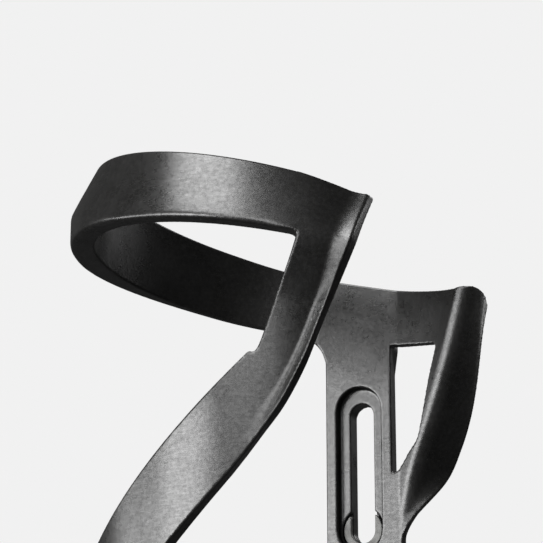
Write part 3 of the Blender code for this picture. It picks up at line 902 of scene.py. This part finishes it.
composite = {
    "dark": (0.005, 0.0049, 0.0047, 1),
    "light": (0.016, 0.0157, 0.015, 1),
    "worn": (0.055, 0.0535, 0.051, 1),
    "roughness": 0.32,
    "coatRoughness": 0.27,
    "coatWeight": 0.45,        # before the mottle makes it patchy
    "cloudScale": 90,          # per metre
    "scuffScale": 420,
    "mottleScale": 1300,
    "grainScale": 3200,
    "streakScale": (450, 2400, 2800),
    "wear": 0.8,
    "wearFrom": 0.05,          # how sharp an edge is when its wear starts
    "wearRange": 0.13,
    "bumpStrength": 0.35,
    "bumpDepth": 0.00006,      # in metres
}


def storeLayout(made):
    # rest places for the pattern, unrolled round the bottle, and how sharp each edge is
    mesh = made.data
    places, edges, count = meshArrays(mesh)
    angle = np.arctan2(places[:, 0], places[:, 1] - axisY * metre)
    radius = np.hypot(places[:, 0], places[:, 1] - axisY * metre)
    unrolled = np.stack([angle * wallRadius * metre, radius, places[:, 2]], 1)
    normals = np.zeros(len(mesh.vertices) * 3)
    mesh.vertices.foreach_get("normal", normals)
    normals = normals.reshape(-1, 3)
    bulge = ((places - neighbourMean(places, edges, count)) * normals).sum(1)[:, None]
    length = np.linalg.norm(places[edges[:, 0]] - places[edges[:, 1]], axis=1)
    spread = np.zeros(len(places))
    for k in (0, 1):
        spread += np.bincount(edges[:, k], length, len(places))
    bulge = bulge / (spread / count)[:, None]
    for _ in range(2):
        bulge = neighbourMean(bulge, edges, count)
    wear = np.clip((bulge[:, 0] - composite["wearFrom"]) / composite["wearRange"], 0, 1)
    for name, kind, key, value in (("restPlace", "FLOAT_VECTOR", "vector", places),
                                   ("unrolled", "FLOAT_VECTOR", "vector", unrolled),
                                   ("edgeWear", "FLOAT", "value", wear)):
        attribute = mesh.attributes.new(name, kind, "POINT")
        attribute.data.foreach_set(key, value.astype(np.float32).ravel())


def paintComposite():
    paint = materialPaint("blackComposite")
    place = paint.node("ShaderNodeAttribute", {"attribute_name": "restPlace"}, output="Vector")
    unrolled = paint.node("ShaderNodeAttribute", {"attribute_name": "unrolled"}, output="Vector")
    wear = paint.node("ShaderNodeAttribute", {"attribute_name": "edgeWear"}, output="Fac")
    clouds = paint.noise(place, composite["cloudScale"], 3.0, 0.6, 0.4)
    mottle = paint.noise(place, composite["mottleScale"], 5.0, 0.65)
    grain = paint.noise(place, composite["grainScale"], 3.0, 0.6)
    streaks = paint.noise(paint.stretch(unrolled, composite["streakScale"]), 1.0, 4.0, 0.6, 0.3)
    fibres = paint.ramp(streaks, (0.48, 0.0), (0.72, 1.0))
    flecks = paint.ramp(mottle, (0.5, 0.0), (0.78, 1.0))
    tone = 0.45 * clouds + 0.3 * fibres + 0.4 * flecks
    body = paint.blendColours(tone, composite["dark"], composite["light"])
    scuffs = paint.ramp(paint.noise(place, composite["scuffScale"], 4.0, 0.7), (0.42, 0.15), (0.68, 1.0))
    colour = paint.blendColours(wear * scuffs * composite["wear"], body, composite["worn"])
    roughness = composite["roughness"] + 0.22 * (clouds - 0.5) + 0.16 * (mottle - 0.5) - 0.05 * fibres
    gloss = composite["coatWeight"] + 2.2 * (mottle - 0.5) + 0.9 * (streaks - 0.5) + 1.2 * (clouds - 0.5)
    gloss = paint.ramp(gloss, (0.0, 0.0), (1.0, 1.0))       # kept between 0 and 1
    height = 0.6 * mottle + 0.5 * grain + 0.35 * streaks
    return paint.result({
        "Base Color": colour,
        "Roughness": roughness,
        "IOR": 1.5,
        "Coat Weight": gloss,
        "Coat Roughness": composite["coatRoughness"],
        "Normal": paint.bump(height, composite["bumpStrength"], composite["bumpDepth"]),
    })


# the pressed-in metal seats for the bolts

boltSeat = {
    "slotClearance": 0.1,
    "hornBlunt": 3,          # the horns end this many degrees short of a point
    "chamfer": 0.14,
    "steps": 96,
    "colour": (0.17, 0.17, 0.166, 1),
    "stain": (0.10, 0.10, 0.097, 1),
    "stainScale": 500,       # per metre
    "grainScale": (2200, 2200, 9000),
    "roughness": 0.5,
    "bumpStrength": 0.2,
    "bumpDepth": 0.00002,    # in metres
    "sharpFrom": 50,
}


def makeBoltSeat(name, z, low, high):
    # a ring with a slot through its top, swept from one horn round to the other
    inner = plate["slotWidth"] / 2 + boltSeat["slotClearance"]
    horn = math.acos(inner / seatRadius) - math.radians(boltSeat["hornBlunt"])
    rings = []
    for i in range(boltSeat["steps"] + 1):
        angle = mix(horn, -math.pi - horn, i / boltSeat["steps"])
        near = inner if math.sin(angle) < 0 else inner / abs(math.cos(angle))
        ends = []
        for y in (low.y, high.y):
            ends.append([Vector((r * math.cos(angle), y, z + r * math.sin(angle)))
                         for r in (near, mix(near, seatRadius, 0.5), seatRadius)])
        rings.append(sheetRing(ends[0], ends[1], boltSeat["chamfer"]))
    made = loftRings(name, rings)
    made.data.shade_smooth()
    made.data.set_sharp_from_angle(angle=math.radians(boltSeat["sharpFrom"]))
    return made


def paintSeat():
    paint = materialPaint("satinSteel")
    place = paint.node("ShaderNodeTexCoord", None, None, "Object")
    grain = paint.noise(paint.stretch(place, boltSeat["grainScale"]), 1.0, 3.0, 0.6)
    stain = paint.ramp(paint.noise(place, boltSeat["stainScale"], 3.0, 0.6), (0.45, 0.0), (0.75, 1.0))
    colour = paint.blendColours(0.5 * stain + 0.2 * grain, boltSeat["colour"], boltSeat["stain"])
    return paint.result({
        "Base Color": colour,
        "Roughness": boltSeat["roughness"] + 0.14 * grain + 0.08 * stain,
        "Metallic": 1.0,
        "Normal": paint.bump(grain, boltSeat["bumpStrength"], boltSeat["bumpDepth"]),
    })


moulding = makeSkin()
storeLayout(moulding)
moulding.data.materials.clear()
moulding.data.materials.append(paintComposite())
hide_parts("back_plate", "side_wing", "base_toe", "strap_foot",
            "rear_band", "front_band", "diagonal_strap")
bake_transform(moulding)
print("moulding: done")

seatPaint = paintSeat()
for side, z in zip(seatBoxes, seatZ):
    seat = makeBoltSeat(side + "SeatRing", z, *seatBoxes[side])
    seat.data.materials.clear()
    seat.data.materials.append(seatPaint)
    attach(seat, "root")
    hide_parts(side + "_bolt_seat")
print("bolt seats: done")


# studio

studio = {
    "floorSize": 6000,
    "floorGap": 0.05,
    "floorColour": (0.06, 0.06, 0.06, 1),
    "floorShade": (0.05, 0.05, 0.05, 1),
    "floorShadeScale": 3,
    "floorRoughness": 0.8,
    "floorGlow": (1, 1, 1, 1),
    "glowStrength": 0.70,
    "backdrop": (0.88, 0.88, 0.88, 1),
    "ambient": 0.06,
    "softboxes": {           # azimuth, elevation, distance, width, height, watts
        "lowSoftbox": (-32, 4, 700, 340, 340, 3.8),
        "overheadSoftbox": (-25, 56, 700, 360, 360, 3.8),
        "frontSoftbox": (2, 28, 700, 360, 360, 1.9),
        "leftSoftbox": (-62, 0, 700, 360, 260, 1.8),
        "rearFill": (150, 35, 900, 500, 500, 2),
    },
}
camera = {
    "azimuth": 23.72,        # from straight in front, towards the entry side
    "lookUp": 16.65,
    "distance": 420.0,
    "aimLeft": 3.39,         # the view is centred a little left of the bottle's axis
    "aimUp": 3.53,
    "lens": 138.6,
    "sensorWidth": 36,
    "clipStart": 0.01,       # in metres
}


def direction(azimuth, elevation):
    # from the object towards something at that azimuth; 0 is straight in front, 90 is at +X
    a, e = math.radians(azimuth), math.radians(elevation)
    return Vector((math.sin(a) * math.cos(e), -math.cos(a) * math.cos(e), math.sin(e)))


def makeCamera():
    back = direction(camera["azimuth"], -camera["lookUp"])
    right = direction(camera["azimuth"] + 90, 0)
    up = back.cross(right)
    anchor = Vector((0, axisY, band["z"]))
    place = anchor + back * camera["distance"]
    aim = anchor - right * camera["aimLeft"] + up * camera["aimUp"]
    data = bpy.data.cameras.new("camera")
    data.lens = camera["lens"]
    data.sensor_width = camera["sensorWidth"]
    data.clip_start = camera["clipStart"]
    made = bpy.data.objects.new("camera", data)
    made.location = place * metre
    made.rotation_mode = "QUATERNION"
    made.rotation_quaternion = (aim - place).to_track_quat("-Z", "Y")
    bpy.context.scene.collection.objects.link(made)
    bpy.context.scene.camera = made


def softbox(name, azimuth, elevation, distance, width, height, power):
    data = bpy.data.lights.new(name, "AREA")
    data.shape = "RECTANGLE"
    data.size = width * metre
    data.size_y = height * metre
    data.energy = power
    made = bpy.data.objects.new(name, data)
    target = Vector((0, axisY, band["z"] / 2))
    offset = direction(azimuth, elevation)
    made.location = (target + offset * distance) * metre
    made.rotation_mode = "QUATERNION"
    made.rotation_quaternion = (-offset).to_track_quat("-Z", "Y")
    bpy.context.scene.collection.objects.link(made)


def makeFloor():
    bm = bmesh.new()
    bmesh.ops.create_grid(bm, x_segments=8, y_segments=8, size=studio["floorSize"] / 2)
    floor = objectFrom("studioFloor", bm)
    floor.location = (0, 0, (toeLow.z - studio["floorGap"]) * metre)
    paint = materialPaint("paleFloor")
    place = paint.node("ShaderNodeTexCoord", None, None, "Object")
    shade = paint.noise(place, studio["floorShadeScale"], 2.0)
    # it glows for the view only, so that it lights nothing from below
    seen = paint.node("ShaderNodeLightPath", output="Is Camera Ray")
    floor.data.materials.append(paint.result({
        "Base Color": paint.blendColours(0.1 * shade, studio["floorColour"], studio["floorShade"]),
        "Roughness": studio["floorRoughness"],
        "Emission Color": paint.blendColours(seen, (0, 0, 0, 1), studio["floorGlow"]),
        "Emission Strength": studio["glowStrength"],
    }))


def makeSurroundings():
    # a plain backdrop for the view and a dim one for the light
    paint = Paint(bpy.data.worlds.new("studio"), "World Output")
    paint.tree.nodes.remove(paint.tree.nodes["Background"])
    seen = paint.node("ShaderNodeLightPath", output="Is Camera Ray")
    dim = paint.node("ShaderNodeBackground", None, {"Color": (1, 1, 1, 1), "Strength": studio["ambient"]})
    plain = paint.node("ShaderNodeBackground", None, {"Color": studio["backdrop"]})
    shown = paint.node("ShaderNodeMixShader", None, {"Fac": seen, 1: dim, 2: plain})
    bpy.context.scene.world = paint.result({"Surface": shown})
    bpy.context.scene.view_settings.view_transform = "Standard"


makeCamera()
makeFloor()
makeSurroundings()
for name, values in studio["softboxes"].items():
    softbox(name, *values)
print("studio: done")
